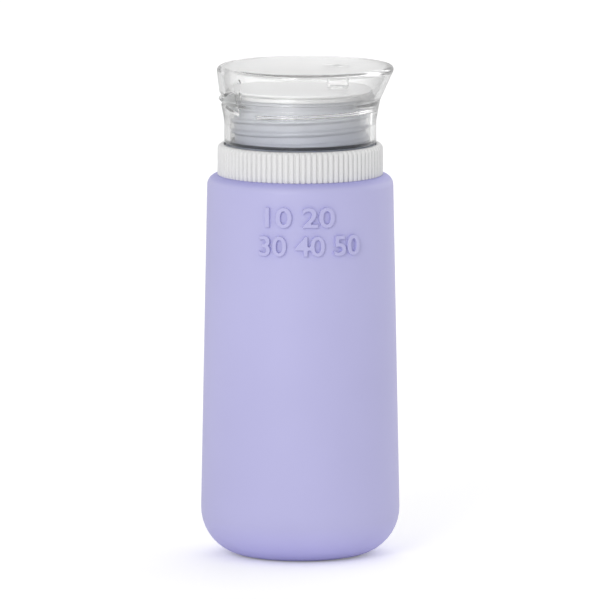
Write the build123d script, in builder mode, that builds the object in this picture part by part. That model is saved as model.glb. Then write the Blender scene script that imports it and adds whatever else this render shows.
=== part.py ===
from build123d import *
import os
from math import radians, sin

os.makedirs("parts", exist_ok=True)

# A soft travel bottle with a clear screw cap and a flip lid. All lengths are in millimetres.
# It stands on its base at the origin with Z up. The pouring side of the cap is +X, its hinge is -X.

# Clearances: between pieces that move apart, between pieces fitted for good, and past a cut
seat_gap = 0.3
fit_gap = 0.1
film_gap = 0.05
overrun = 5.0

# Neck insert: a hard tube with a flange over the soft bead and a barb under the shoulder
neck_bore_radius = 12.8
neck_wall = 2.1
neck_rise = 11.2
neck_lip_chamfer = 0.4
insert_skirt_wall = 1.0
flange_inset = 0.1
flange_thickness = 1.0
barb_reach = 0.8
barb_height = 1.1
barb_chamfer = 0.7

# Squeeze body: a leaning side between a round base edge and a flat shoulder, with a beaded neck
shoulder_height = 87.0
shoulder_reach = 2.295
side_lean_share = 0.0196
base_edge_radius = 10.7
shoulder_edge_radius = 2.4
inner_shoulder_radius = 1.6
body_wall = 2.5
base_thickness = 3.0
dish_radius = 8.5
dish_depth = 0.6
soft_neck_wall = 2.3
soft_bead_lip = 0.9
soft_bead_height = 1.2

# Grip collar: a ribbed ring that stands on the shoulder and grips the soft bead under its ledge
collar_wall = 1.5
collar_ledge_height = 4.6
collar_lip_height = 0.2
collar_bead_room = 0.2
collar_edge_radius = 1.1
rib_count = 90
groove_depth = 0.28
groove_mouth_width = 0.5
groove_floor_width = 0.24

# Neck gasket: a flat washer that the cap presses on the neck's rim
gasket_thickness = 0.8
gasket_width = 2.1
gasket_inset = 0.15

# Cap base: a skirt that flares to a ledge, round a raised deck with an off-centre pouring hole
thread_room = 1.05
skirt_wall = 1.32
skirt_straight_height = 5.0
skirt_bend_radius = 8.0
skirt_foot_radius = 0.3
ledge_drop = 2.5
ledge_inset = 0.05
upper_bore_step = 0.55
upper_bore_height = 2.6
deck_wall = 1.1
deck_thickness = 0.95
deck_edge_radius = 0.5
snap_bead_radius = 0.15
snap_bead_rise = 0.9
snap_bead_half_angle = 28
pour_radius = 1.6
pour_room = 0.7
pour_rim_width = 0.7
pour_rim_height = 0.25
socket_wall = 0.85
socket_lip_height = 0.2

# Drip valve: a disc with a thin slit skin. Valve retainer: the ring that holds it in the socket
valve_seat_width = 1.15
valve_thickness = 0.9
valve_skin = 0.35
slit_length = 2.0
slit_width = 0.14
retainer_height = 1.1
retainer_chamfer = 0.25

# Flip lid: a hollow cone whose top reaches further out on the pouring side
lid_gap = 0.2
lid_room = 0.45
lid_height = 7.35
lid_foot_shift = 0.1
brow_reach = 1.975
brow_lean = 1.175
lid_wall = 1.3
lid_top_thickness = 0.9
lid_edge_radius = 0.45
lid_inner_edge_radius = 0.35
plug_gap = 0.15
plug_taper = 0.25
plug_tip_edge_radius = 0.3
boss_step = 1.05

# Living hinge: a bow-tie film let into cap and lid, with a straight round bead on the hinge line
hinge_half_angle = 42.1
waist_half_angle = 19.9
wing_half_height = 3.4
waist_half_height = 1.0
film_inset = 0.25
film_thickness = 0.5
bead_inset = 0.02
bead_radius = 0.35
bead_half_width = 4.0

# Radii, worked out from the neck's bore outwards
neck_radius = neck_bore_radius + neck_wall
insert_skirt_radius = neck_bore_radius + insert_skirt_wall
soft_neck_bore_radius = insert_skirt_radius + fit_gap
soft_neck_radius = soft_neck_bore_radius + soft_neck_wall
soft_bead_radius = soft_neck_radius + soft_bead_lip
flange_radius = soft_bead_radius - flange_inset
barb_radius = soft_neck_bore_radius + barb_reach
collar_bore_radius = soft_neck_radius + fit_gap
collar_mouth_radius = soft_bead_radius + collar_bead_room
collar_radius = collar_mouth_radius + collar_wall
body_radius = collar_radius + shoulder_reach + side_lean_share * shoulder_height
thread_bore_radius = neck_radius + thread_room
skirt_radius = thread_bore_radius + skirt_wall
upper_bore_radius = thread_bore_radius - upper_bore_step
gasket_radius = upper_bore_radius - gasket_inset
deck_radius = upper_bore_radius + deck_wall
lid_foot_radius = deck_radius + lid_room + lid_wall
lid_brow_radius = lid_foot_radius + brow_reach
lid_brow_shift = lid_foot_shift + brow_lean
ledge_radius = lid_foot_radius - ledge_inset
bead_reach = ledge_radius - bead_inset
hinge_half_width = ledge_radius * sin(radians(hinge_half_angle))
waist_half_width = ledge_radius * sin(radians(waist_half_angle))

# Radii round the pouring hole, which stands as far out as the neck's bore lets its socket turn
socket_bore_radius = pour_radius + valve_seat_width
socket_radius = socket_bore_radius + socket_wall
pour_offset = neck_bore_radius - pour_room - socket_radius
pour_rim_radius = pour_radius + pour_rim_width
valve_radius = socket_bore_radius - fit_gap
valve_well_radius = pour_radius + fit_gap
retainer_bore_radius = valve_well_radius + fit_gap
plug_root_radius = pour_radius - plug_gap
plug_tip_radius = plug_root_radius - plug_taper
boss_radius = plug_root_radius + boss_step

# Heights, worked out from the shoulder upwards
cavity_top = shoulder_height - body_wall
barb_top = cavity_top - seat_gap
barb_bottom = barb_top - barb_height
bead_bottom = shoulder_height + collar_ledge_height
bead_top = bead_bottom + soft_bead_height
flange_top = bead_top + flange_thickness
collar_top = flange_top + collar_lip_height
collar_height = collar_top - shoulder_height
neck_top = flange_top + neck_rise
skirt_bottom = collar_top + seat_gap
skirt_bend_height = skirt_bottom + skirt_straight_height
deck_under = neck_top + gasket_thickness
deck_top = deck_under + deck_thickness
pour_rim_top = deck_top + pour_rim_height
upper_bore_bottom = deck_under - upper_bore_height
socket_depth = valve_thickness + retainer_height + socket_lip_height
ledge_height = deck_top - ledge_drop
lid_bottom = ledge_height + lid_gap
lid_top = lid_bottom + lid_height
ceiling_height = lid_top - lid_top_thickness
boss_bottom = pour_rim_top + seat_gap
parting_height = (ledge_height + lid_bottom) / 2
film_depth = film_inset + film_thickness + film_gap

pour_plane = Plane((pour_offset, 0, 0))
hinge_plane = Plane((0, 0, parting_height), x_dir=(0, 1, 0), z_dir=(1, 0, 0))


def side_radius(height):
    """Outer radius of the body's leaning side at a height."""
    return body_radius - side_lean_share * height


def flare_radius(height):
    """Outer radius of the cap's flare at a height, on a straight line from its bend to its ledge."""
    slope = (ledge_radius - skirt_radius) / (ledge_height - skirt_bend_height)
    return skirt_radius + slope * (height - skirt_bend_height)


def lid_circle(height, inset):
    """Centre offset and radius of the lid's outline at a height, drawn in by an inset."""
    rise_share = (height - lid_bottom) / lid_height
    shift = lid_foot_shift + rise_share * (lid_brow_shift - lid_foot_shift)
    radius = lid_foot_radius + rise_share * (lid_brow_radius - lid_foot_radius)
    return shift, radius - inset


def lid_form(bottom, top, inset):
    """The oblique cone of the lid between two heights, drawn in by an inset."""
    with BuildPart() as form:
        for height in (bottom, top):
            shift, radius = lid_circle(height, inset)
            with BuildSketch(Plane.XY.offset(height)):
                with Locations((shift, 0)):
                    Circle(radius)
        loft(ruled=True)
    return form.part


def flare_form(bottom, top, inset):
    """The cone of the cap's flare between two heights, drawn in by an inset."""
    with BuildPart() as form:
        for height in (bottom, top):
            with BuildSketch(Plane.XY.offset(height)):
                Circle(flare_radius(height) - inset)
        loft(ruled=True)
    return form.part


def bow_tie_prism(margin):
    """A block on the hinge side with the outline of the hinge's wings, grown by a margin."""
    half_width = hinge_half_width + margin
    wing = wing_half_height + margin
    waist = waist_half_height + margin
    outline = [
        (-half_width, -wing),
        (-waist_half_width, -waist),
        (waist_half_width, -waist),
        (half_width, -wing),
        (half_width, wing),
        (waist_half_width, waist),
        (-waist_half_width, waist),
        (-half_width, wing),
    ]
    with BuildPart() as prism:
        with BuildSketch(hinge_plane):
            Polygon(*outline, align=None)
        extrude(amount=-(ledge_radius + overrun))
    return prism.part


def hinge_recess(bottom, top, form, margin):
    """What is cut from a piece so that the film lies in it: the bow-tie block outside the floor."""
    return bow_tie_prism(margin) - form(bottom, top, film_depth)


# Squeeze body
with BuildPart() as squeeze_body:
    with BuildSketch(Plane.XZ) as body_profile:
        with BuildLine():
            Polyline(
                (0, 0),
                (body_radius, 0),
                (side_radius(shoulder_height), shoulder_height),
                (soft_neck_radius, shoulder_height),
                (soft_neck_radius, bead_bottom),
                (soft_bead_radius, bead_bottom),
                (soft_bead_radius, bead_top),
                (0, bead_top),
                close=True,
            )
        make_face()
        shoulder = body_profile.vertices().sort_by_distance(
            (side_radius(shoulder_height), shoulder_height)
        )[0]
        fillet(shoulder, radius=shoulder_edge_radius)
        base_corner = body_profile.vertices().sort_by_distance((body_radius, 0))[0]
        fillet(base_corner, radius=base_edge_radius)
    revolve(axis=Axis.Z)

    with BuildSketch(Plane.XZ) as cavity_profile:
        with BuildLine():
            Polyline(
                (0, base_thickness),
                (side_radius(base_thickness) - body_wall, base_thickness),
                (side_radius(cavity_top) - body_wall, cavity_top),
                (soft_neck_bore_radius, cavity_top),
                (soft_neck_bore_radius, bead_top + overrun),
                (0, bead_top + overrun),
                close=True,
            )
        make_face()
        inner_shoulder = cavity_profile.vertices().sort_by_distance(
            (side_radius(cavity_top) - body_wall, cavity_top)
        )[0]
        fillet(inner_shoulder, radius=inner_shoulder_radius)
        inner_corner = cavity_profile.vertices().sort_by_distance(
            (side_radius(base_thickness) - body_wall, base_thickness)
        )[0]
        fillet(inner_corner, radius=base_edge_radius - body_wall)
    revolve(axis=Axis.Z, mode=Mode.SUBTRACT)

    with BuildSketch(Plane.XZ):
        with BuildLine():
            Line((0, dish_depth), (0, 0))
            Line((0, 0), (dish_radius, 0))
            TangentArc((0, dish_depth), (dish_radius, 0), tangent=(1, 0))
        make_face()
    revolve(axis=Axis.Z, mode=Mode.SUBTRACT)

squeeze_body.part.label = "squeeze_body"
export_step(squeeze_body.part, "parts/squeeze_body.step")

# Neck insert
with BuildPart() as neck_insert:
    with BuildSketch(Plane.XZ):
        with BuildLine():
            Polyline(
                (neck_bore_radius, barb_bottom),
                (barb_radius - barb_chamfer, barb_bottom),
                (barb_radius, barb_bottom + barb_chamfer),
                (barb_radius, barb_top),
                (insert_skirt_radius, barb_top),
                (insert_skirt_radius, bead_top),
                (flange_radius, bead_top),
                (flange_radius, flange_top),
                (neck_radius, flange_top),
                (neck_radius, neck_top - neck_lip_chamfer),
                (neck_radius - neck_lip_chamfer, neck_top),
                (neck_bore_radius, neck_top),
                close=True,
            )
        make_face()
    revolve(axis=Axis.Z)

neck_insert.part.label = "neck_insert"
export_step(neck_insert.part, "parts/neck_insert.step")

# Grip collar, with upright grooves that run out in its rounded top edge
with BuildPart() as grip_collar:
    with BuildSketch(Plane.XZ) as collar_profile:
        with BuildLine():
            Polyline(
                (collar_bore_radius, shoulder_height),
                (collar_radius, shoulder_height),
                (collar_radius, collar_top),
                (collar_mouth_radius, collar_top),
                (collar_mouth_radius, bead_bottom),
                (collar_bore_radius, bead_bottom),
                close=True,
            )
        make_face()
        top_corner = collar_profile.vertices().sort_by_distance((collar_radius, collar_top))[0]
        fillet(top_corner, radius=collar_edge_radius)
    revolve(axis=Axis.Z)

    with BuildSketch(Plane.XY.offset(shoulder_height)):
        with PolarLocations(0, rib_count):
            Polygon(
                (collar_radius - groove_depth, -groove_floor_width / 2),
                (collar_radius + groove_depth, -groove_mouth_width / 2),
                (collar_radius + groove_depth, groove_mouth_width / 2),
                (collar_radius - groove_depth, groove_floor_width / 2),
                align=None,
            )
    extrude(amount=collar_height, mode=Mode.SUBTRACT)

grip_collar.part.label = "grip_collar"
export_step(grip_collar.part, "parts/grip_collar.step")

# Neck gasket
with BuildPart() as neck_gasket:
    with BuildSketch(Plane.XY.offset(neck_top)):
        Circle(gasket_radius)
        Circle(gasket_radius - gasket_width, mode=Mode.SUBTRACT)
    extrude(amount=gasket_thickness)

neck_gasket.part.label = "neck_gasket"
export_step(neck_gasket.part, "parts/neck_gasket.step")

# Cap base
with BuildPart() as cap_base:
    with BuildSketch(Plane.XZ) as cap_profile:
        with BuildLine():
            Polyline(
                (thread_bore_radius, skirt_bottom),
                (skirt_radius, skirt_bottom),
                (skirt_radius, skirt_bend_height),
                (ledge_radius, ledge_height),
                (deck_radius, ledge_height),
                (deck_radius, deck_top),
                (0, deck_top),
                (0, deck_under),
                (upper_bore_radius, deck_under),
                (upper_bore_radius, upper_bore_bottom),
                (thread_bore_radius, upper_bore_bottom),
                close=True,
            )
        make_face()
        bend = cap_profile.vertices().sort_by_distance((skirt_radius, skirt_bend_height))[0]
        fillet(bend, radius=skirt_bend_radius)
        foot = cap_profile.vertices().sort_by_distance((skirt_radius, skirt_bottom))[0]
        fillet(foot, radius=skirt_foot_radius)
        deck_corner = cap_profile.vertices().sort_by_distance((deck_radius, deck_top))[0]
        fillet(deck_corner, radius=deck_edge_radius)
    revolve(axis=Axis.Z)

    # A short bead on the pouring side of the deck wall, which the lid snaps over
    with BuildSketch(Plane.XZ.rotated((0, 0, -snap_bead_half_angle))):
        with Locations((deck_radius, ledge_height + snap_bead_rise)):
            Circle(snap_bead_radius)
    revolve(axis=Axis.Z, revolution_arc=2 * snap_bead_half_angle)

    # Pouring hole with a low rim above and a valve socket below
    with BuildSketch(pour_plane.offset(deck_top)):
        Circle(pour_rim_radius)
    extrude(amount=pour_rim_height)
    with BuildSketch(pour_plane.offset(deck_under)):
        Circle(socket_radius)
        Circle(socket_bore_radius, mode=Mode.SUBTRACT)
    extrude(amount=-socket_depth)
    with BuildSketch(pour_plane.offset(deck_under)):
        Circle(pour_radius)
    extrude(amount=pour_rim_top - deck_under, mode=Mode.SUBTRACT)

    add(hinge_recess(skirt_bend_height, ledge_height + overrun, flare_form, film_gap), mode=Mode.SUBTRACT)

cap_base.part.label = "cap_base"
export_step(cap_base.part, "parts/cap_base.step")

# Drip valve, with a cross slit in its thin skin
with BuildPart() as drip_valve:
    with BuildSketch(pour_plane.offset(deck_under)):
        Circle(valve_radius)
    extrude(amount=-valve_thickness)
    with BuildSketch(pour_plane.offset(deck_under - valve_skin)):
        Circle(valve_well_radius)
    extrude(amount=-valve_thickness, mode=Mode.SUBTRACT)
    with BuildSketch(pour_plane.offset(deck_under)):
        Rectangle(slit_length, slit_width)
        Rectangle(slit_width, slit_length)
    extrude(amount=-valve_thickness, mode=Mode.SUBTRACT)

drip_valve.part.label = "drip_valve"
export_step(drip_valve.part, "parts/drip_valve.step")

# Valve retainer
with BuildPart() as valve_retainer:
    with BuildSketch(pour_plane.offset(deck_under - valve_thickness)):
        Circle(valve_radius)
        Circle(retainer_bore_radius, mode=Mode.SUBTRACT)
    extrude(amount=-retainer_height)
    chamfer(
        valve_retainer.faces().sort_by(Axis.Z)[0].edges(),
        length=retainer_chamfer,
    )

valve_retainer.part.label = "valve_retainer"
export_step(valve_retainer.part, "parts/valve_retainer.step")

# Flip lid
with BuildPart() as flip_lid:
    add(lid_form(lid_bottom, lid_top, 0))
    fillet(flip_lid.faces().sort_by(Axis.Z)[-1].edges(), radius=lid_edge_radius)
    add(lid_form(lid_bottom - overrun, ceiling_height, lid_wall), mode=Mode.SUBTRACT)
    ceiling = flip_lid.faces().filter_by(Plane.XY).sort_by(Axis.Z)[-2]
    fillet(ceiling.edges(), radius=lid_inner_edge_radius)

    # Stopper boss with a tapered plug that closes the pouring hole
    with BuildSketch(pour_plane.offset(ceiling_height)):
        Circle(boss_radius)
    extrude(amount=-(ceiling_height - boss_bottom))
    with BuildSketch(pour_plane.offset(boss_bottom)):
        Circle(plug_root_radius)
    with BuildSketch(pour_plane.offset(deck_under + fit_gap)):
        Circle(plug_tip_radius)
    loft(ruled=True)
    plug_end = flip_lid.faces().filter_by(Plane.XY).sort_by_distance((pour_offset, 0, deck_under))[0]
    fillet(plug_end.edges(), radius=plug_tip_edge_radius)

    add(hinge_recess(lid_bottom - overrun, lid_top, lid_form, film_gap), mode=Mode.SUBTRACT)

flip_lid.part.label = "flip_lid"
export_step(flip_lid.part, "parts/flip_lid.step")

# Living hinge
with BuildPart() as living_hinge:
    add(flare_form(skirt_bend_height, parting_height, film_inset))
    add(
        flare_form(skirt_bend_height, parting_height, film_inset + film_thickness),
        mode=Mode.SUBTRACT,
    )
    add(lid_form(parting_height, lid_top, film_inset))
    add(
        lid_form(parting_height, lid_top, film_inset + film_thickness),
        mode=Mode.SUBTRACT,
    )
    add(bow_tie_prism(0), mode=Mode.INTERSECT)

    # The straight bead stands out of the film's waist, and its round end lies on the hinge line
    waist_floor_radius = ledge_radius - film_inset - film_thickness
    with BuildPart(mode=Mode.PRIVATE) as hinge_bead:
        with BuildSketch(Plane.XZ):
            with Locations((-bead_reach, parting_height)):
                Circle(bead_radius)
                Rectangle(
                    bead_reach,
                    2 * bead_radius,
                    align=(Align.MIN, Align.CENTER),
                )
        extrude(amount=bead_half_width, both=True)
        with BuildSketch(Plane.XY.offset(parting_height)):
            Circle(waist_floor_radius)
        extrude(amount=overrun, both=True, mode=Mode.SUBTRACT)
    add(hinge_bead.part)

living_hinge.part.label = "living_hinge"
export_step(living_hinge.part, "parts/living_hinge.step")
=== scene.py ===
from math import atan2, ceil, cos, pi, radians, sin, tan, tau

import bpy
import numpy as np
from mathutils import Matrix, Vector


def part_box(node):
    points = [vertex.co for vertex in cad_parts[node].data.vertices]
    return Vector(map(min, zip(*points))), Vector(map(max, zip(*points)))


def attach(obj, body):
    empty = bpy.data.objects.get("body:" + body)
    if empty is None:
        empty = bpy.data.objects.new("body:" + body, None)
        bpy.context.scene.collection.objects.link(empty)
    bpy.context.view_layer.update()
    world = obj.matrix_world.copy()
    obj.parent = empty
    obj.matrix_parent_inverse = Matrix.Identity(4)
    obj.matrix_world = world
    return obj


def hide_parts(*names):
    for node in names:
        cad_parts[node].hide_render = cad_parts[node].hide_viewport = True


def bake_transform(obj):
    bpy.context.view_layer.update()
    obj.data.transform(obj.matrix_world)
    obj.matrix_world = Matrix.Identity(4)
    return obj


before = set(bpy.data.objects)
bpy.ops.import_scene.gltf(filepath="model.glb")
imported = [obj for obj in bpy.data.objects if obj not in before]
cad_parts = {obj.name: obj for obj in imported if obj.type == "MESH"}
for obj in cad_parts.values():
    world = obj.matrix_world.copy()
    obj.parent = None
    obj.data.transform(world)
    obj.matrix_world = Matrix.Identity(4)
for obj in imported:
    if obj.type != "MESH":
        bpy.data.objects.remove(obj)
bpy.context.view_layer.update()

# A soft travel bottle with a clear screw cap and a hinged flip lid. Sizes are in millimetres, and the
# meshes are turned into metres as they are made. The cap's hinge is at -X and its pouring side at +X.
# A step is the length of the rows of a profile, and a thinning is how many rows there are to one that is
# kept on a plain stretch.
MM = 0.001


def lowest(node):
    """Lowest corner of a node of the frame, in millimetres."""
    return np.array(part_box(node)[0]) / MM


def highest(node):
    """Highest corner of a node of the frame, in millimetres."""
    return np.array(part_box(node)[1]) / MM


# Heights and radii that the frame gives
shoulder_height = lowest("grip_collar")[2]
bead_top = highest("squeeze_body")[2]
collar_top = highest("grip_collar")[2]
collar_radius = highest("grip_collar")[1]
barb_bottom = lowest("neck_insert")[2]
neck_top = highest("neck_insert")[2]
flange_radius = highest("neck_insert")[1]
deck_under = highest("neck_gasket")[2]
skirt_bottom = lowest("cap_base")[2]
rim_top = highest("cap_base")[2]
lid_bottom = lowest("flip_lid")[2]
lid_top = highest("flip_lid")[2]
pour_offset = (lowest("drip_valve")[0] + highest("drip_valve")[0]) / 2

# Squeeze body
body_radius = 22.8
side_lean = 0.0196
base_rounding = 10.7
shoulder_rounding = 2.4
inner_shoulder_rounding = 1.6
body_wall = 2.5
base_thickness = 3.0
dish_radius = 8.5
dish_depth = 0.6
dish_rings = 12
middle_ring = 0.3
soft_bore_radius = 13.9
soft_neck_radius = 16.2
soft_bead_radius = 17.1
soft_bead_height = 1.2
body_step = 2.5
body_columns = 256

# Raised numbers on the front of the body. Each row has its name, its figures, the arc from the front to
# its middle, its height above the table and its width
number_rows = (
    ("numbers_upper", "10 20", -0.1, 79.6, 15.7),
    ("numbers_lower", "30 40 50", 2.3, 73.1, 23.4),
)
digit_height = 4.6
relief_height = 0.8
relief_sink = 0.3
number_grain = 0.13
stroke_growth = 0.018

# Grip collar. Each rib's crest and flank are shares of half its spacing
collar_bore_radius = 16.3
collar_mouth_radius = 17.3
collar_ledge = 4.6
collar_rounding = 1.1
collar_step = 0.8
rib_count = 90
rib_columns = 14
rib_depth = 0.6
rib_crest_share = 0.48
rib_flank_share = 0.38
groove_root = 0.75
groove_fade = 0.6

# Neck insert
neck_bore_radius = 12.8
neck_radius = 14.9
insert_skirt_radius = 13.8
insert_rounding = 0.2
flange_thickness = 1.0
barb_radius = 14.7
barb_height = 1.1
barb_rounding = 0.6
neck_rounding = 0.35
neck_step = 0.16
neck_thinning = 8
neck_columns = 360

# Threads. The neck's starts low at the front left, and the cap's stands between its turns. Gaps keep the
# ridges clear of the flange, the rim and the ends of the skirt's bore
thread_pitch = 2.9
thread_height = 0.85
thread_crest = 0.4
thread_root = 1.7
thread_turns = 3.05
thread_foot = 0.8
thread_start = radians(225)
thread_runout = radians(25)
thread_lift_fade = 0.3
thread_flange_gap = 0.05
thread_rim_gap = 0.4
cap_thread_height = 0.5
cap_thread_crest = 0.1
cap_thread_root = 1.1
cap_thread_turns = 0.42
cap_thread_foot = 7.2
cap_thread_start = radians(224)
cap_thread_runout = radians(16)
cap_thread_margin = 0.7
cap_thread_low_gap = 0.4
cap_thread_high_gap = 0.1
bore_band = 0.1

# Cap base
skirt_radius = 17.27
skirt_straight = 5.0
skirt_bend_rounding = 8.0
skirt_middle = 0.9
thread_bore_radius = 15.95
upper_bore_radius = 15.4
upper_bore_height = 2.6
upper_bore_slope = 1.0
upper_bore_rounding = 0.3
slope_rounding = 0.6
ledge_radius = 18.2
ledge_rounding = 0.12
ledge_drop = 2.5
ledge_border = 0.3
ledge_edge = 0.2
deck_radius = 16.5
deck_rounding = 0.2
deck_border = 2.0
deck_lift = 0.06
pour_radius = 1.6
pour_rim_radius = 2.3
pour_rim_height = 0.25
pour_rounding = 0.1
pour_foot_rounding = 0.08
socket_bore_radius = 2.75
socket_radius = 3.6
socket_depth = 2.2
socket_rounding = 0.2
socket_border = 0.6
foot_rounding = 0.3
edge_rounding = 0.15
cap_step = 0.07
cap_arc_gap = 0.05
cap_thinning = 16
cap_recess_thinning = 2
cap_columns = (250, 220)

# Flip lid
lid_foot_radius = 18.25
lid_foot_shift = 0.1
lid_brow_radius = 20.4
lid_brow_shift = 1.275
lid_wall = 1.3
lid_ceiling = 0.9
lid_rounding = 1.0
lid_inner_rounding = 0.3
lid_inner_border = 0.4
lid_wall_border = 0.15
lid_middle_ring = 0.4
boss_radius = 2.5
boss_root_rounding = 0.3
boss_rounding = 0.25
plug_root_radius = 1.45
plug_root_rounding = 0.12
plug_tip_radius = 1.2
plug_tip_rounding = 0.3
plug_middle_ring = 0.2
plug_drop = 0.1
seat_gap = 0.3
foot_drop = 0.12
lid_step = 0.14
lid_arc_gap = 0.1
lid_thinning = 8
lid_columns = (260, 260)

# Living hinge, and the recess in cap and lid that it lies in
wing_half_width = 10.8
waist_half_width = 6.0
upper_wing = 2.4
lower_wing = 2.3
waist_half_height = 0.8
film_inset = 0.12
film_thickness = 0.32
film_rows = 61
film_columns = 121
bead_radius = 0.35
bead_half_width = 4.0
bead_overlap = 0.02
bead_end = 0.5
hinge_recess = 0.5
recess_edge = 0.7
cap_recess_margin = 0.8
lid_recess_margin = 0.6
lid_recess_skin = 0.2
hinge_sector = radians(46)

# Places that follow from these sizes
bead_bottom = bead_top - soft_bead_height
flange_top = bead_top + flange_thickness
cavity_top = shoulder_height - body_wall
thread_bottom = flange_top + thread_foot
skirt_bend = skirt_bottom + skirt_straight
cap_thread_bottom = skirt_bottom + cap_thread_foot
bore_top = deck_under - upper_bore_height
deck_top = rim_top - pour_rim_height
ledge_height = deck_top - ledge_drop
parting_height = (ledge_height + lid_bottom) / 2
ceiling_height = lid_top - lid_ceiling

# Finishes: colours of surfaces in the 0 to 255 steps of a photograph, shades as shares of the light,
# noise in waves a metre, and its relief in millimetres
WHITE = (1.0, 1.0, 1.0, 1.0)
NOISE_LOW = 0.3
NOISE_HIGH = 0.7
silicone_colours = ((186, 184, 226), (190, 188, 230))
silicone_cloud = 35
silicone_grain = 5200
silicone_relief = 0.012
silicone_rough = (0.4, 0.5)
# Painted light on the silicone: brighter and bluer towards the floor, standing in for light bounced up from
# it
painted_foot_light = (1.06, 1.04, 1.17, 1.0)
painted_foot_light_top = 9
# Painted shade on the silicone in the nook just under the collar
painted_nook_shade = (0.78, 0.78, 0.95, 1.0)
painted_nook_shade_span = (shoulder_height - 1.2, shoulder_height - 0.1)
satin_colours = ((229, 229, 229), (234, 234, 234))
satin_grain = 2600
satin_relief = 0.006
satin_rough = (0.38, 0.46)
# The neck's colour from its foot to its top: darker and lavender at the foot is painted shade and a painted
# lavender cast from the silicone
neck_colours_and_painted_cast = ((194, 198, 211), (225, 227, 232))
painted_cast_span = (flange_top + 1, neck_top - 3)
frosted_grain = 1800
frosted_relief = 0.001
frosted_rough = (0.28, 0.36)
milky_unevenness = 4
milky_grain = 900
milky_rough = (0.45, 0.6)
plastic_ior = 1.49
clear_tint = (0.985, 0.985, 0.985, 1.0)
clear_rough = (0.015, 0.035)
film_tint = (0.9, 0.91, 0.91, 1.0)
film_rough = (0.08, 0.14)
flow_marks = 260
flow_relief = 0.0015
# Painted shade: clear walls seen at a slant turn grey, standing in for the dark edges of thick clear
# plastic
painted_edge_shade = (0.2, 0.202, 0.205, 1.0)
slant_start = 0.25
slant_fade = 0.03
# Painted shadow: a dark band at the foot of the clear skirt, for the shaded crevice above the collar
painted_skirt_foot_shadow = (0.2, 0.205, 0.215, 1.0)
skirt_foot_top = skirt_bottom + 0.75
skirt_foot_fade = 0.15
skirt_slant_top = deck_top - 0.25
deck_satin_bottom = ledge_height + 0.1
deck_milky_span = (deck_top - 0.92, deck_top - 0.12)
lid_satin_bottom = lid_top - 0.02
satin_fade = 0.1
satin_haze = 0.22
milky_clearness = 0.05
shadow_clearness = (0.96, 0.96, 0.96, 1.0)
smoke_colour = (0.2, 0.2, 0.2, 1.0)
smoke_density = 20

# Studio, in metres and watts. Each lamp has its name, its size, its place and its power
floor_reach = 12.0
floor_colour = (0.95, 0.95, 0.95, 1.0)
floor_glow = 0.2
sky_level = 0.66
gloss_share = 0.72
overhead_span = (0.5, 0.8)
overhead_share = 0.3
lamps = (
    ("key", 0.5, (-0.46, -1.2, 0.55), 5.3),
    ("rim", 1.13, (1.2, 0.9, 0.6), 4),
    ("back", 1.4, (0.3, 1.8, 1.8), 8),
)
lamp_target = (0, 0, 0.06)
camera_target = (-0.00006, 0, 0.0581)
camera_distance = 3.0
camera_elevation = radians(7.6)
camera_focus = 792.0

# How roundings are divided, and how near two places are the same
ARC_STEP = radians(9)
BROKEN_EDGE = 0.25
LEAST_ARC_POINTS = 4
SAME = 0.01


def smooth(share):
    """Zero below 0, one above 1, and 3 s squared less 2 s cubed between, so it starts and ends flat."""
    share = np.clip(share, 0, 1)
    return share * share * (3 - 2 * share)


def outline(corners, step, loop=False):
    """Rows of a profile, as an array of radius and height. It runs straight between corners, each given
    as (radius, height, rounding). A rounding is the arc that touches both sides of its corner: its centre
    lies on the bisector, and its points turn evenly about that, half as many where it is a broken edge.
    Straight stretches get a row per step."""
    bends = []
    for number, (across, up, rounding) in enumerate(corners):
        here = np.array((across, up), float)
        if not rounding:
            bends.append(here[None])
            continue
        back = np.array(corners[number - 1][:2], float) - here
        onward = np.array(corners[(number + 1) % len(corners)][:2], float) - here
        back /= np.linalg.norm(back)
        onward /= np.linalg.norm(onward)
        half = np.arccos(np.clip(back @ onward, -1, 1)) / 2
        centre = here + (back + onward) / np.linalg.norm(back + onward) * rounding / sin(half)
        first = here + back * rounding / tan(half) - centre
        last = here + onward * rounding / tan(half) - centre
        turn = pi - 2 * half
        arc_step = ARC_STEP if rounding > BROKEN_EDGE else 2 * ARC_STEP
        share = np.linspace(0, 1, max(LEAST_ARC_POINTS, ceil(turn / arc_step) + 1))[:, None]
        arc = np.sin((1 - share) * turn) * first + np.sin(share * turn) * last
        bends.append(centre + arc / sin(turn))
    points = np.concatenate(bends)
    ends = np.roll(points, -1, axis=0) if loop else points[1:]
    rows = []
    for start, end in zip(points, ends):
        count = max(1, ceil(np.linalg.norm(end - start) / step))
        rows.append(start + (end - start) * np.arange(count)[:, None] / count)
    if not loop:
        rows.append(points[-1:])
    return np.concatenate(rows)


def every(number, rows):
    """True for the first of a profile's rows, and for each that comes a number of rows after such a one."""
    return np.arange(len(rows)) % number == 0


def close_set(gap, rows):
    """True for the rows of a profile that lie less than a gap from a neighbour, as on an arc."""
    ahead = np.linalg.norm(np.roll(rows, -1, axis=0) - rows, axis=1)
    return (ahead < gap) | (np.roll(ahead, 1) < gap)


def around(columns):
    """Angles of the columns, evenly round the circle from +X towards +Y."""
    return np.arange(columns) * tau / columns


def crowded(near, far):
    """Angles of the columns of a piece with the hinge: near of them within the hinge's sector on both sides
    of -X, and far of them over the rest of the circle."""
    first, last = pi - hinge_sector, pi + hinge_sector
    return np.concatenate([
        np.linspace(first, last, near, endpoint=False),
        np.linspace(last, first + tau, far, endpoint=False),
    ])


def turned(radius, height, angle, shift=0.0):
    """Points of a form turned about Z, with a row for each ring and a column for each angle. Radius and
    height are columns with a number for each ring, or grids. Shift moves a ring's centre along X."""
    places = (shift + radius * np.cos(angle), radius * np.sin(angle), height)
    return np.stack(np.broadcast_arrays(*places), axis=-1)


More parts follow.
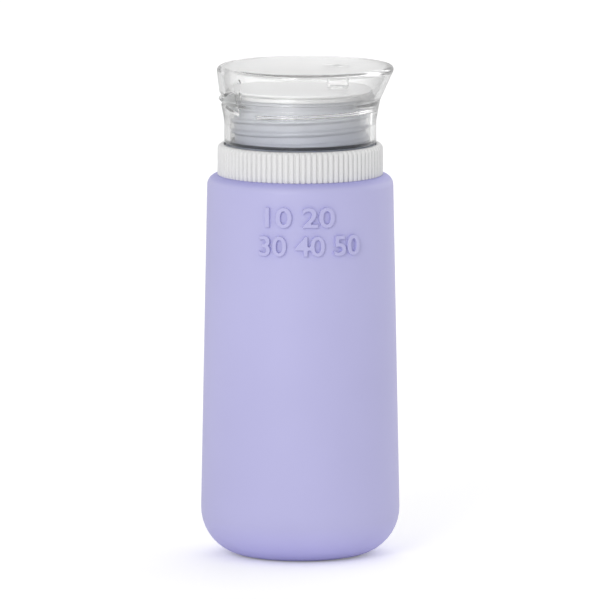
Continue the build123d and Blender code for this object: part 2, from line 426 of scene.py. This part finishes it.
def placed(name, data):
    """A new object of the scene that holds a mesh, text, lamp or camera."""
    thing = bpy.data.objects.new(name, data)
    bpy.context.scene.collection.objects.link(thing)
    return thing


def places_of(mesh):
    """The places of a mesh's points, in its own units."""
    places = np.zeros(len(mesh.vertices) * 3, np.float32)
    mesh.vertices.foreach_get("co", places)
    return places.reshape(-1, 3)


def set_places(mesh, places):
    """Puts a mesh's points at places in millimetres."""
    mesh.vertices.foreach_set("co", (places * MM).astype(np.float32).ravel())


def skin(name, points, material, loop=False, poles=False, rims=False, sharp=40):
    """A closed mesh over a grid of points. Each row's last column joins its first. With loop the last row
    joins the first row, with poles the first and last row close in a fan about their middle, and with rims
    they close as slits, where each column of the first half joins its mirror image in the second."""
    rows, columns = points.shape[:2]
    places = points.reshape(-1, 3)
    index = np.arange(rows * columns).reshape(rows, columns)
    lower = index if loop else index[:-1]
    upper = np.roll(index, -1, axis=0) if loop else index[1:]
    quads = np.stack([lower, np.roll(lower, -1, 1), np.roll(upper, -1, 1), upper], axis=-1).reshape(-1, 4)
    fans = np.zeros((0, 3), int)
    if poles:
        first, last = len(places), len(places) + 1
        places = np.concatenate([places, points[0].mean(0)[None], points[-1].mean(0)[None]])
        ahead = np.roll(index, -1, axis=1)
        fans = np.concatenate([
            np.stack([np.full(columns, first), ahead[0], index[0]], axis=-1),
            np.stack([np.full(columns, last), index[-1], ahead[-1]], axis=-1),
        ])
    if rims:
        near = np.arange(columns // 2 - 1)
        far = columns - 1 - near
        first, last = index[0], index[-1]
        quads = np.concatenate([
            quads,
            np.stack([first[near + 1], first[near], first[far], first[far - 1]], axis=-1),
            np.stack([last[near], last[near + 1], last[far - 1], last[far]], axis=-1),
        ])
    volume = sum(
        np.einsum("ij,ij->i", places[a], np.cross(places[b], places[c])).sum()
        for a, b, c in (quads[:, [0, 1, 2]].T, quads[:, [0, 2, 3]].T, fans.T)
    )
    if volume < 0:
        quads, fans = quads[:, ::-1], fans[:, ::-1]
    mesh = bpy.data.meshes.new(name)
    mesh.vertices.add(len(places))
    set_places(mesh, places)
    mesh.loops.add(quads.size + fans.size)
    mesh.loops.foreach_set("vertex_index", np.concatenate([quads.ravel(), fans.ravel()]).astype(np.int32))
    starts = np.concatenate([np.arange(len(quads)) * 4, quads.size + np.arange(len(fans)) * 3])
    mesh.polygons.add(len(starts))
    mesh.polygons.foreach_set("loop_start", starts.astype(np.int32))
    mesh.polygons.foreach_set("use_smooth", np.ones(len(starts), bool))
    mesh.update(calc_edges=True)
    mesh.validate()
    mesh.set_sharp_from_angle(angle=radians(sharp))
    mesh.materials.append(material)
    return placed(name, mesh)


def thread(angle, height, start_angle, start_height, turns, crest, root, runout):
    """Share of the full ridge at each angle and height. The ridge climbs one pitch a turn from its start,
    is full over its crest, falls to nothing at its root's width along S-shaped flanks, and fades at both
    ends over the angle runout."""
    climb = (height - start_height) / thread_pitch - (angle - start_angle) / tau
    ends = []
    for lap in (np.floor(climb), np.floor(climb) + 1):
        along = (angle - start_angle) + tau * lap
        off = np.abs(height - start_height - thread_pitch * along / tau)
        flank = smooth((root / 2 - off) / (root - crest) * 2)
        ends.append(flank * smooth(along / runout) * smooth((tau * turns - along) / runout))
    return np.maximum(*ends)


def bow_tie(across, wing):
    """Half height of the hinge's bow-tie at a place across it. It is even over the waist and grows along a
    straight line to the wings' ends."""
    out = np.clip((np.abs(across) - waist_half_width) / (wing_half_width - waist_half_width), 0, 1)
    return waist_half_height + out * (wing - waist_half_height)


def recess(radius, angle, height):
    """Depth of the hinge's recess at each point of cap or lid, where the wall is cut in full. It is the
    bow-tie with an S-shaped border, on the hinge side only."""
    across = radius * np.sin(angle)
    off = height - parting_height
    half = bow_tie(across, np.where(off < 0, lower_wing, upper_wing))
    inside = smooth((half - np.abs(off)) / recess_edge + 1)
    inside = inside * smooth((wing_half_width - np.abs(across)) / recess_edge + 1)
    return hinge_recess * inside * (np.cos(angle) < 0)


# Materials

def shader(name):
    """A new material, with its nodes, a link helper and its Principled shader."""
    material = bpy.data.materials.new(name)
    material.use_nodes = True
    nodes = material.node_tree.nodes
    return material, nodes, material.node_tree.links.new, nodes["Principled BSDF"]


def linear(steps):
    """A colour given in the 0 to 255 steps of a photograph, as the light that it stands for."""
    shares = np.array(steps) / 255
    light = np.where(shares <= 0.04045, shares / 12.92, ((shares + 0.055) / 1.055) ** 2.4)
    return (*light.tolist(), 1.0)


def grain(nodes, link, scale, detail=3.0):
    """A noise on Object coordinates, as fine as scale waves a metre."""
    place = nodes.new("ShaderNodeTexCoord")
    noise = nodes.new("ShaderNodeTexNoise")
    noise.inputs["Scale"].default_value = scale
    noise.inputs["Detail"].default_value = detail
    link(place.outputs["Object"], noise.inputs["Vector"])
    return noise.outputs["Fac"]


def reckon(nodes, link, operation, first, second):
    """Two numbers put together by an operation of the Math node. The first comes from another node."""
    result = nodes.new("ShaderNodeMath")
    result.operation = operation
    link(first, result.inputs[0])
    if isinstance(second, float):
        result.inputs[1].default_value = second
    else:
        link(second, result.inputs[1])
    return result.outputs["Value"]


def blended(nodes, link, share, first, last):
    """A colour that is first where share is 0, and last where it is 1."""
    mix = nodes.new("ShaderNodeMix")
    mix.data_type = "RGBA"
    mix.inputs["A"].default_value = first
    mix.inputs["B"].default_value = last
    link(share, mix.inputs["Factor"])
    return mix.outputs["Result"]


def ramp(nodes, link, source, low, high, first, last):
    """A colour or number that goes from first to last as source goes from low to high."""
    change = nodes.new("ShaderNodeMapRange")
    change.inputs["From Min"].default_value = low
    change.inputs["From Max"].default_value = high
    link(source, change.inputs["Value"])
    if isinstance(first, tuple):
        return blended(nodes, link, change.outputs["Result"], first, last)
    change.inputs["To Min"].default_value = first
    change.inputs["To Max"].default_value = last
    return change.outputs["Result"]


def mottled(nodes, link, noise, first, last):
    """A colour or number that wanders from first to last with a noise, which keeps near a half."""
    return ramp(nodes, link, noise, NOISE_LOW, NOISE_HIGH, first, last)


def by_height(nodes, link, low, high, first, last):
    """A colour or number that goes from first to last between two heights in millimetres."""
    place = nodes.new("ShaderNodeTexCoord")
    parts = nodes.new("ShaderNodeSeparateXYZ")
    link(place.outputs["Object"], parts.inputs["Vector"])
    return ramp(nodes, link, parts.outputs["Z"], low * MM, high * MM, first, last)


def shaded(nodes, link, colour, shade):
    """A colour times a shade."""
    mix = nodes.new("ShaderNodeMix")
    mix.data_type = "RGBA"
    mix.blend_type = "MULTIPLY"
    mix.inputs["Factor"].default_value = 1.0
    link(colour, mix.inputs["A"])
    link(shade, mix.inputs["B"])
    return mix.outputs["Result"]


def bump(nodes, link, principled, source, depth):
    """Raises the surface by depth, in millimetres, where source is 1."""
    relief = nodes.new("ShaderNodeBump")
    relief.inputs["Distance"].default_value = depth * MM
    link(source, relief.inputs["Height"])
    link(relief.outputs["Normal"], principled.inputs["Normal"])


def silicone_finish():
    """Matt lavender silicone: fine even grain and faint cloudiness. Towards the foot it is deeper in hue
    and a little brighter, a painted light for light bounced up from the floor. In the nook beside the
    collar it has painted shade."""
    material, nodes, link, principled = shader("silicone")
    cloud = grain(nodes, link, silicone_cloud, detail=2)
    colour = mottled(nodes, link, cloud, *map(linear, silicone_colours))
    # painted light towards the foot
    foot = by_height(nodes, link, 0, painted_foot_light_top, painted_foot_light, WHITE)
    # painted shade in the nook beside the collar
    nook = by_height(nodes, link, *painted_nook_shade_span, WHITE, painted_nook_shade)
    for shade in (foot, nook):
        colour = shaded(nodes, link, colour, shade)
    link(colour, principled.inputs["Base Color"])
    fine = grain(nodes, link, silicone_grain, detail=2)
    link(mottled(nodes, link, fine, *silicone_rough), principled.inputs["Roughness"])
    bump(nodes, link, principled, fine, silicone_relief)
    principled.inputs["Specular IOR Level"].default_value = 0.38
    return material


def collar_finish():
    """White satin moulding with a faint grain."""
    material, nodes, link, principled = shader("white_satin")
    fine = grain(nodes, link, satin_grain)
    link(mottled(nodes, link, fine, *map(linear, satin_colours)), principled.inputs["Base Color"])
    link(mottled(nodes, link, fine, *satin_rough), principled.inputs["Roughness"])
    bump(nodes, link, principled, fine, satin_relief)
    return material


def neck_finish():
    """Natural frosted moulding that light shines through. It is darker and a little lavender towards its
    foot: a painted shade under the cap and a painted cast of light from the lavender silicone.
    """
    material, nodes, link, principled = shader("frosted_neck")
    principled.inputs["Transmission Weight"].default_value = 0.25
    principled.inputs["IOR"].default_value = plastic_ior
    # painted shade and lavender cast towards the foot
    colour = by_height(nodes, link, *painted_cast_span, *map(linear, neck_colours_and_painted_cast))
    link(colour, principled.inputs["Base Color"])
    fine = grain(nodes, link, frosted_grain)
    link(mottled(nodes, link, fine, *frosted_rough), principled.inputs["Roughness"])
    bump(nodes, link, principled, fine, frosted_relief)
    return material


def milky_finish(name, light):
    """Milky soft moulding, a little uneven."""
    material, nodes, link, principled = shader(name)
    dark = tuple(step - milky_unevenness for step in light)
    fine = grain(nodes, link, milky_grain)
    link(mottled(nodes, link, fine, linear(dark), linear(light)), principled.inputs["Base Color"])
    link(mottled(nodes, link, fine, *milky_rough), principled.inputs["Roughness"])
    return material


def clear_finish(name, tint, rough, slant_top, foot_top=None, satin_bottom=None, milky_span=None):
    """Clear moulded plastic with faint flow marks, which takes a little of the light that crosses it and
    lets lamp light reach what it covers. Below the height slant_top it is painted grey where it is seen at
    a slant, a painted shade for the dark edges of thick clear plastic. Below foot_top it is painted dark, a
    painted shadow of the crevice at the skirt's foot. From satin_bottom up it is satin, and over milky_span
    it turns milky. Heights are in millimetres."""
    material, nodes, link, principled = shader(name)
    # painted shade on walls seen at a slant
    edge = nodes.new("ShaderNodeLayerWeight")
    edge.inputs["Blend"].default_value = 0.5
    slant = ramp(nodes, link, edge.outputs["Facing"], slant_start, 1.0, 0.0, 1.0)
    under = by_height(nodes, link, slant_top - slant_fade, slant_top, 1.0, 0.0)
    colour = blended(nodes, link, reckon(nodes, link, "MULTIPLY", slant, under), tint, painted_edge_shade)
    if foot_top:
        # painted shadow at the skirt's foot
        foot = by_height(nodes, link, foot_top - skirt_foot_fade, foot_top, painted_skirt_foot_shadow, WHITE)
        colour = shaded(nodes, link, colour, foot)
    link(colour, principled.inputs["Base Color"])
    principled.inputs["Transmission Weight"].default_value = 1.0
    principled.inputs["IOR"].default_value = plastic_ior
    flow = grain(nodes, link, flow_marks, detail=2)
    roughness = mottled(nodes, link, flow, *rough)
    if satin_bottom:
        satin = by_height(nodes, link, satin_bottom - satin_fade, satin_bottom, 0.0, satin_haze)
        roughness = reckon(nodes, link, "MAXIMUM", roughness, satin)
    link(roughness, principled.inputs["Roughness"])
    if milky_span:
        clearness = by_height(nodes, link, *milky_span, 1.0, milky_clearness)
        link(clearness, principled.inputs["Transmission Weight"])
    bump(nodes, link, principled, flow, flow_relief)
    path = nodes.new("ShaderNodeLightPath")
    through = nodes.new("ShaderNodeBsdfTransparent")
    through.inputs["Color"].default_value = shadow_clearness
    mix = nodes.new("ShaderNodeMixShader")
    link(path.outputs["Is Shadow Ray"], mix.inputs["Fac"])
    link(principled.outputs["BSDF"], mix.inputs[1])
    link(through.outputs["BSDF"], mix.inputs[2])
    link(mix.outputs["Shader"], nodes["Material Output"].inputs["Surface"])
    smoke = nodes.new("ShaderNodeVolumeAbsorption")
    smoke.inputs["Color"].default_value = smoke_colour
    smoke.inputs["Density"].default_value = smoke_density
    link(smoke.outputs["Volume"], nodes["Material Output"].inputs["Volume"])
    return material


silicone = silicone_finish()
white_satin = collar_finish()
frosted_neck = neck_finish()
frosted_ring = milky_finish("frosted_ring", (232, 233, 235))
milky_seal = milky_finish("milky_seal", (248, 248, 248))
smoky_valve = milky_finish("smoky_valve", (172, 174, 177))
clear_plastic = clear_finish("clear_plastic", clear_tint, clear_rough, lid_satin_bottom,
                             satin_bottom=lid_satin_bottom)
clear_skirt = clear_finish("clear_skirt", clear_tint, clear_rough, skirt_slant_top, skirt_foot_top,
                           deck_satin_bottom, deck_milky_span)
hinge_film = clear_finish("hinge_film", film_tint, film_rough, slant_top=0)


# Pieces

def side_radius(height):
    """Outer radius of the body's leaning side at a height."""
    return body_radius - side_lean * height


def squeeze_body():
    """The bag: a profile turned once round, from the dish under the base up the outside, over the neck's
    bead and down inside to the floor. The dish is a parabola, highest on the axis."""
    dish = np.linspace(middle_ring, dish_radius, dish_rings)
    dish = np.stack([dish, dish_depth * (1 - (dish / dish_radius) ** 2)], axis=-1)
    shell = outline([
        (dish_radius, 0, 0),
        (body_radius, 0, base_rounding),
        (side_radius(shoulder_height), shoulder_height, shoulder_rounding),
        (soft_neck_radius, shoulder_height, edge_rounding),
        (soft_neck_radius, bead_bottom, edge_rounding),
        (soft_bead_radius, bead_bottom, edge_rounding),
        (soft_bead_radius, bead_top, edge_rounding),
        (soft_bore_radius, bead_top, edge_rounding),
        (soft_bore_radius, cavity_top, edge_rounding),
        (side_radius(cavity_top) - body_wall, cavity_top, inner_shoulder_rounding),
        (side_radius(base_thickness) - body_wall, base_thickness, base_rounding - body_wall),
        (middle_ring, base_thickness, 0),
    ], step=body_step)
    radius, height = np.hsplit(np.concatenate([dish[:-1], shell]), 2)
    points = turned(radius, height, around(body_columns))
    return skin("squeeze_body_shell", points, silicone, poles=True)


def neck_insert():
    """The hard neck: a closed profile turned round, with a right-hand thread raised on its outside."""
    rows = outline([
        (neck_bore_radius, barb_bottom, insert_rounding),
        (barb_radius, barb_bottom, barb_rounding),
        (barb_radius, barb_bottom + barb_height, insert_rounding),
        (insert_skirt_radius, barb_bottom + barb_height, insert_rounding),
        (insert_skirt_radius, bead_top, insert_rounding),
        (flange_radius, bead_top, insert_rounding),
        (flange_radius, flange_top, insert_rounding),
        (neck_radius, flange_top, insert_rounding),
        (neck_radius, neck_top, neck_rounding),
        (neck_bore_radius, neck_top, neck_rounding),
    ], step=neck_step, loop=True)
    on_bore = rows[:, 0] < neck_bore_radius + SAME
    radius, height = np.hsplit(rows[~on_bore | every(neck_thinning, rows)], 2)
    angle = around(neck_columns)
    ridge = thread(angle, height, thread_start, thread_bottom, thread_turns, thread_crest, thread_root,
                   thread_runout)
    outside = smooth((radius - neck_radius + thread_lift_fade) / thread_lift_fade)
    threaded = (height > flange_top + thread_flange_gap) & (height < neck_top - thread_rim_gap)
    radius = radius + thread_height * ridge * outside * threaded
    return skin("neck_threaded", turned(radius, height, angle), frosted_neck, loop=True, sharp=60)


def grip_collar():
    """The ribbed ring: a closed profile turned round. The ribs are narrow rounded grooves between flat
    crests, cut into the upright face, and they run out in the rounded top edge."""
    rows = outline([
        (collar_bore_radius, shoulder_height, edge_rounding),
        (collar_radius, shoulder_height, edge_rounding),
        (collar_radius, collar_top, collar_rounding),
        (collar_mouth_radius, collar_top, edge_rounding),
        (collar_mouth_radius, shoulder_height + collar_ledge, edge_rounding),
        (collar_bore_radius, shoulder_height + collar_ledge, edge_rounding),
    ], step=collar_step, loop=True)
    radius, height = np.hsplit(rows, 2)
    angle = around(rib_count * rib_columns)
    off_crest = np.abs((angle * rib_count / tau + 0.5) % 1 - 0.5) * 2
    groove = smooth((off_crest - rib_crest_share) / rib_flank_share)
    upright = smooth((radius - (collar_radius - groove_root)) / groove_fade)
    radius = radius - rib_depth * groove * upright
    return skin("collar_ribbed", turned(radius, height, angle), white_satin, loop=True, sharp=60)


def flare_radius(height):
    """Outer radius of the cap's flare at a height, on the line from its bend to its ledge."""
    share = (height - skirt_bend) / (ledge_height - skirt_bend)
    return skirt_radius + (ledge_radius - skirt_radius) * share


def cap_base():
    """The screw cap: a closed profile from the skirt's foot up the outside, over the ledge and the deck,
    down the pouring hole and back inside. The rings' centres slide along X from the deck's axis to the
    hole's as they get smaller, evenly with their radius. A right-hand thread stands inwards on the
    skirt's bore."""
    ceiling = deck_under + deck_lift
    rows = outline([
        (thread_bore_radius, skirt_bottom, edge_rounding),
        (skirt_radius, skirt_bottom, foot_rounding),
        (skirt_radius, skirt_bend, skirt_bend_rounding),
        (ledge_radius, ledge_height, ledge_rounding),
        (deck_radius, ledge_height, edge_rounding),
        (deck_radius, deck_top, deck_rounding),
        (pour_rim_radius, deck_top, pour_rounding),
        (pour_rim_radius, rim_top, pour_rounding),
        (pour_radius, rim_top, pour_rounding),
        (pour_radius, ceiling, pour_foot_rounding),
        (socket_bore_radius, ceiling, pour_rounding),
        (socket_bore_radius, deck_under - socket_depth, edge_rounding),
        (socket_radius, deck_under - socket_depth, edge_rounding),
        (socket_radius, ceiling, socket_rounding),
        (upper_bore_radius, ceiling, upper_bore_rounding),
        (upper_bore_radius, bore_top + upper_bore_slope, slope_rounding),
        (thread_bore_radius, bore_top, slope_rounding),
    ], step=cap_step, loop=True)
    radius, height = rows.T
    ridged = (np.abs(radius - thread_bore_radius) < SAME) & (height > cap_thread_bottom - cap_thread_margin)
    hinged = (radius > deck_radius) & (height > parting_height - lower_wing - cap_recess_margin)
    kept = ridged | hinged & every(cap_recess_thinning, rows)
    kept = kept | close_set(cap_arc_gap, rows) | every(cap_thinning, rows)
    radius, height = np.hsplit(rows[kept], 2)
    angle = crowded(*cap_columns)

    slide_start, slide_end = deck_radius - deck_border, socket_radius + socket_border
    shift = pour_offset * np.clip((slide_start - radius) / (slide_start - slide_end), 0, 1)

    ridge = thread(angle, height, cap_thread_start, cap_thread_bottom, cap_thread_turns, cap_thread_crest,
                   cap_thread_root, cap_thread_runout)
    threaded = (height > skirt_bottom + cap_thread_low_gap) & (height < bore_top - cap_thread_high_gap)
    on_bore = np.abs(radius - thread_bore_radius) < bore_band
    radius = radius - cap_thread_height * ridge * (threaded & on_bore)

    ledge_inside = deck_radius + ledge_border
    on_ledge = np.clip((radius - ledge_inside) / (ledge_radius - ledge_inside), 0, 1) ** 0.5
    on_skirt = (radius > thread_bore_radius + skirt_middle) * 1.0
    outside = np.where(height < ledge_height - ledge_edge, on_skirt, on_ledge)
    radius = radius - recess(radius, angle, height) * outside
    return skin("cap_shell", turned(radius, height, angle, shift), clear_skirt, loop=True)


def lid_shift(height):
    """How far the lid's outline at a height leans out to the pouring side."""
    share = (height - lid_bottom) / (lid_top - lid_bottom)
    return lid_foot_shift + (lid_brow_shift - lid_foot_shift) * share


def lid_radius(height):
    """Outer radius of the lid at a height."""
    share = (height - lid_bottom) / (lid_top - lid_bottom)
    return lid_foot_radius + (lid_brow_radius - lid_foot_radius) * share


def flip_lid():
    """The lid: from the middle of its top out over the brow, down the flared outside, back up inside and
    over the ceiling to the boss and the plug. The rings' centres lean out with height on the walls, and
    over the ceiling they slide to the pouring hole's axis evenly with their radius."""
    inside_foot = lid_radius(lid_bottom) - lid_wall
    inside_brow = lid_radius(ceiling_height) - lid_wall
    boss_bottom = rim_top + seat_gap
    rows = outline([
        (lid_middle_ring, lid_top, 0),
        (lid_brow_radius, lid_top, lid_rounding),
        (lid_foot_radius, lid_bottom - foot_drop, ledge_rounding),
        (inside_foot, lid_bottom - foot_drop, edge_rounding),
        (inside_brow, ceiling_height, lid_inner_rounding),
        (boss_radius, ceiling_height, boss_root_rounding),
        (boss_radius, boss_bottom, boss_rounding),
        (plug_root_radius, boss_bottom, plug_root_rounding),
        (plug_tip_radius, deck_under + plug_drop, plug_tip_rounding),
        (plug_middle_ring, deck_under + plug_drop, 0),
    ], step=lid_step)
    radius, height = rows.T
    recess_top = lid_bottom + upper_wing + lid_recess_margin
    hinged = (radius > lid_foot_radius - lid_recess_skin) & (height < recess_top)
    last = np.arange(len(rows)) == len(rows) - 1
    kept = hinged | close_set(lid_arc_gap, rows) | every(lid_thinning, rows) | last
    radius, height = np.hsplit(rows[kept], 2)
    angle = crowded(*lid_columns)

    on_ceiling = (height < ceiling_height + SAME) & (radius < inside_foot - lid_inner_border)
    slide = np.clip((radius - boss_radius) / (deck_radius - boss_radius), 0, 1)
    lean = lid_shift(height)
    shift = np.where(on_ceiling, pour_offset + (lean - pour_offset) * slide, lean)

    outside = np.clip((radius - inside_foot - lid_wall_border) / (lid_wall - 2 * lid_wall_border), 0, 1)
    radius = radius - recess(radius, angle, height) * outside
    return skin("lid_shell", turned(radius, height, angle, shift), clear_plastic, poles=True)


def living_hinge():
    """The hinge: a film with a bow-tie outline, which lies in the recess of cap and lid, and a round bead
    along its waist. Its two skins follow the flare of cap and lid, film_inset and film_thickness further
    in, and the bead adds half a circle to the outer skin between its rounded ends."""
    share = np.linspace(-1, 1, film_rows)[:, None]
    across = np.linspace(-1, 1, film_columns) * wing_half_width
    off = share * bow_tie(across, np.where(share < 0, lower_wing, upper_wing))
    height = parting_height + off
    flare = np.where(off < 0, flare_radius(height), lid_radius(height))
    shift = np.where(off < 0, 0, lid_shift(height))
    bulge = np.sqrt(np.clip(1 - (off / bead_radius) ** 2, 0, None))
    bead = bulge * (bead_radius + film_inset - bead_overlap)
    bead = bead * smooth((bead_half_width - np.abs(across)) / bead_end)
    outer, inner = (
        np.stack(np.broadcast_arrays(shift - np.sqrt(reach ** 2 - across ** 2), across, height), axis=-1)
        for reach in (flare - film_inset + bead, flare - film_inset - film_thickness)
    )
    rings = np.concatenate([outer, inner[:, ::-1]], axis=1)
    return skin("hinge_film", rings, hinge_film, rims=True)


def set_figures(text):
    """Plain figures as a mesh that lies flat, in the font's own units, one unit thick."""
    curve = bpy.data.curves.new("numbers", "FONT")
    curve.body = text
    curve.align_x = "CENTER"
    curve.align_y = "CENTER"
    curve.extrude = 0.5
    curve.offset = stroke_growth
    flat = placed("numbers", curve)
    bpy.context.view_layer.update()
    mesh = bpy.data.meshes.new_from_object(flat)
    bpy.data.objects.remove(flat)
    return mesh


def evened(mesh):
    """The same form as a closed mesh with faces of one size, a little softened at its edges."""
    piece = placed("numbers", mesh)
    remesh = piece.modifiers.new("even", "REMESH")
    remesh.mode = "VOXEL"
    remesh.voxel_size = number_grain * MM
    soften = piece.modifiers.new("soften", "SMOOTH")
    soften.iterations = 1
    soften.factor = 0.5
    graph = bpy.context.evaluated_depsgraph_get()
    even = bpy.data.meshes.new_from_object(piece.evaluated_get(graph))
    bpy.data.objects.remove(piece)
    return even


def raised_numbers(name, text, middle, height, width):
    """A row of plain figures that stands out of the body's front. It is set flat, given its size, made an
    even mesh, and then bent round the body: width becomes arc, and depth becomes radius."""
    mesh = set_figures(text)
    places = places_of(mesh)
    low, high = places.min(0), places.max(0)
    spread = (places - (low + high) / 2) / (high - low)
    set_places(mesh, spread * (width, digit_height, relief_height + relief_sink))
    even = evened(mesh)
    across, up, out = (places_of(even) / MM).T
    up = height + up
    angle = (middle + across) / side_radius(height) - pi / 2
    radius = side_radius(up) + out + (relief_height - relief_sink) / 2
    set_places(even, np.stack([radius * np.cos(angle), radius * np.sin(angle), up], axis=-1))
    even.polygons.foreach_set("use_smooth", np.ones(len(even.polygons), bool))
    even.update()
    even.materials.clear()
    even.materials.append(silicone)
    even.name = name
    return placed(name, even)


dressed = [
    (squeeze_body(), "bottle", "squeeze_body", "silicone"),
    (neck_insert(), "bottle", "neck_insert", "frosted_plastic"),
    (grip_collar(), "bottle", "grip_collar", "white_plastic"),
    (cap_base(), "cap", "cap_base", "clear_plastic"),
    (flip_lid(), "lid", "flip_lid", "clear_plastic"),
]
for piece, rider, node, slot in dressed:
    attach(piece, rider)
    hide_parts(node)

film = living_hinge()
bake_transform(film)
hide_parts("living_hinge")

for row in number_rows:
    piece = raised_numbers(*row)
    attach(piece, "bottle")

for node, material in (
    ("neck_gasket", milky_seal),
    ("drip_valve", smoky_valve),
    ("valve_retainer", frosted_ring),
):
    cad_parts[node].data.materials.clear()
    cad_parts[node].data.materials.append(material)


# Studio: a pale floor, soft lamps, and a far camera at the photograph's angle

def seen_plainly(nodes, link):
    """1 for rays from the camera and rays that come through clear plastic, and 0 for all others."""
    path = nodes.new("ShaderNodeLightPath")
    camera_ray, through_ray = path.outputs["Is Camera Ray"], path.outputs["Is Transmission Ray"]
    return reckon(nodes, link, "MAXIMUM", camera_ray, through_ray)


def studio_floor():
    """A wide flat pale floor, which is white and glows a little to the camera and in clear plastic."""
    corners = np.array([[-1, -1, 0], [1, -1, 0], [1, 1, 0], [-1, 1, 0]]) * floor_reach
    mesh = bpy.data.meshes.new("floor")
    mesh.from_pydata(corners.tolist(), [], [(0, 1, 2, 3)])
    material, nodes, link, principled = shader("floor_paper")
    seen = seen_plainly(nodes, link)
    link(blended(nodes, link, seen, floor_colour, WHITE), principled.inputs["Base Color"])
    principled.inputs["Roughness"].default_value = 0.9
    principled.inputs["Specular IOR Level"].default_value = 0.1
    principled.inputs["Emission Color"].default_value = WHITE
    link(reckon(nodes, link, "MULTIPLY", seen, floor_glow), principled.inputs["Emission Strength"])
    mesh.materials.append(material)
    placed("floor", mesh)


def sky():
    """White to the camera and in clear plastic, a little less in gloss, and a soft even light for all the
    rest. The first three find it dim overhead, so that level faces under the lid stay grey."""
    world = bpy.data.worlds.new("studio")
    bpy.context.scene.world = world
    world.use_nodes = True
    nodes, link = world.node_tree.nodes, world.node_tree.links.new
    path = nodes.new("ShaderNodeLightPath")
    glossy = reckon(nodes, link, "MULTIPLY", path.outputs["Is Glossy Ray"], gloss_share)
    bright = reckon(nodes, link, "MAXIMUM", seen_plainly(nodes, link), glossy)
    level = ramp(nodes, link, bright, 0.0, 1.0, sky_level, 1.0)
    place = nodes.new("ShaderNodeTexCoord")
    parts = nodes.new("ShaderNodeSeparateXYZ")
    link(place.outputs["Generated"], parts.inputs["Vector"])
    overhead = ramp(nodes, link, parts.outputs["Z"], *overhead_span, 1.0, overhead_share)
    dim = nodes.new("ShaderNodeMix")
    dim.inputs["A"].default_value = 1.0
    link(overhead, dim.inputs["B"])
    link(bright, dim.inputs["Factor"])
    light = nodes["Background"]
    light.inputs["Color"].default_value = WHITE
    link(reckon(nodes, link, "MULTIPLY", level, dim.outputs["Result"]), light.inputs["Strength"])


def aim(thing, target):
    """Turns a lamp or camera so that it looks from its place to a target."""
    x, y, z = (t - p for t, p in zip(target, thing.location))
    flat = (x * x + y * y) ** 0.5
    thing.rotation_euler = (atan2(z, flat) + pi / 2, 0, atan2(y, x) - pi / 2)


def lamp(name, size, place, power):
    """A square soft lamp at a place, aimed at the bottle's middle."""
    data = bpy.data.lights.new(name, "AREA")
    data.shape = "SQUARE"
    data.size = size
    data.energy = power
    light = placed(name, data)
    light.location = place
    aim(light, lamp_target)


def camera():
    """A camera with a long lens in front of the bottle, raised by its elevation about its target."""
    data = bpy.data.cameras.new("camera")
    data.lens = camera_focus
    data.sensor_width = 36.0
    data.clip_end = 100.0
    eye = placed("camera", data)
    x, y, z = camera_target
    back, up = camera_distance * cos(camera_elevation), camera_distance * sin(camera_elevation)
    eye.location = (x, y - back, z + up)
    aim(eye, camera_target)
    return eye


studio_floor()
sky()
for row in lamps:
    lamp(*row)
bpy.context.scene.camera = camera()
bpy.context.scene.view_settings.view_transform = "Standard"

# Light in a clear wall is turned back many times before it leaves
bpy.context.scene.cycles.max_bounces = 40
bpy.context.scene.cycles.glossy_bounces = 24
bpy.context.scene.cycles.transmission_bounces = 40

bpy.context.view_layer.update()
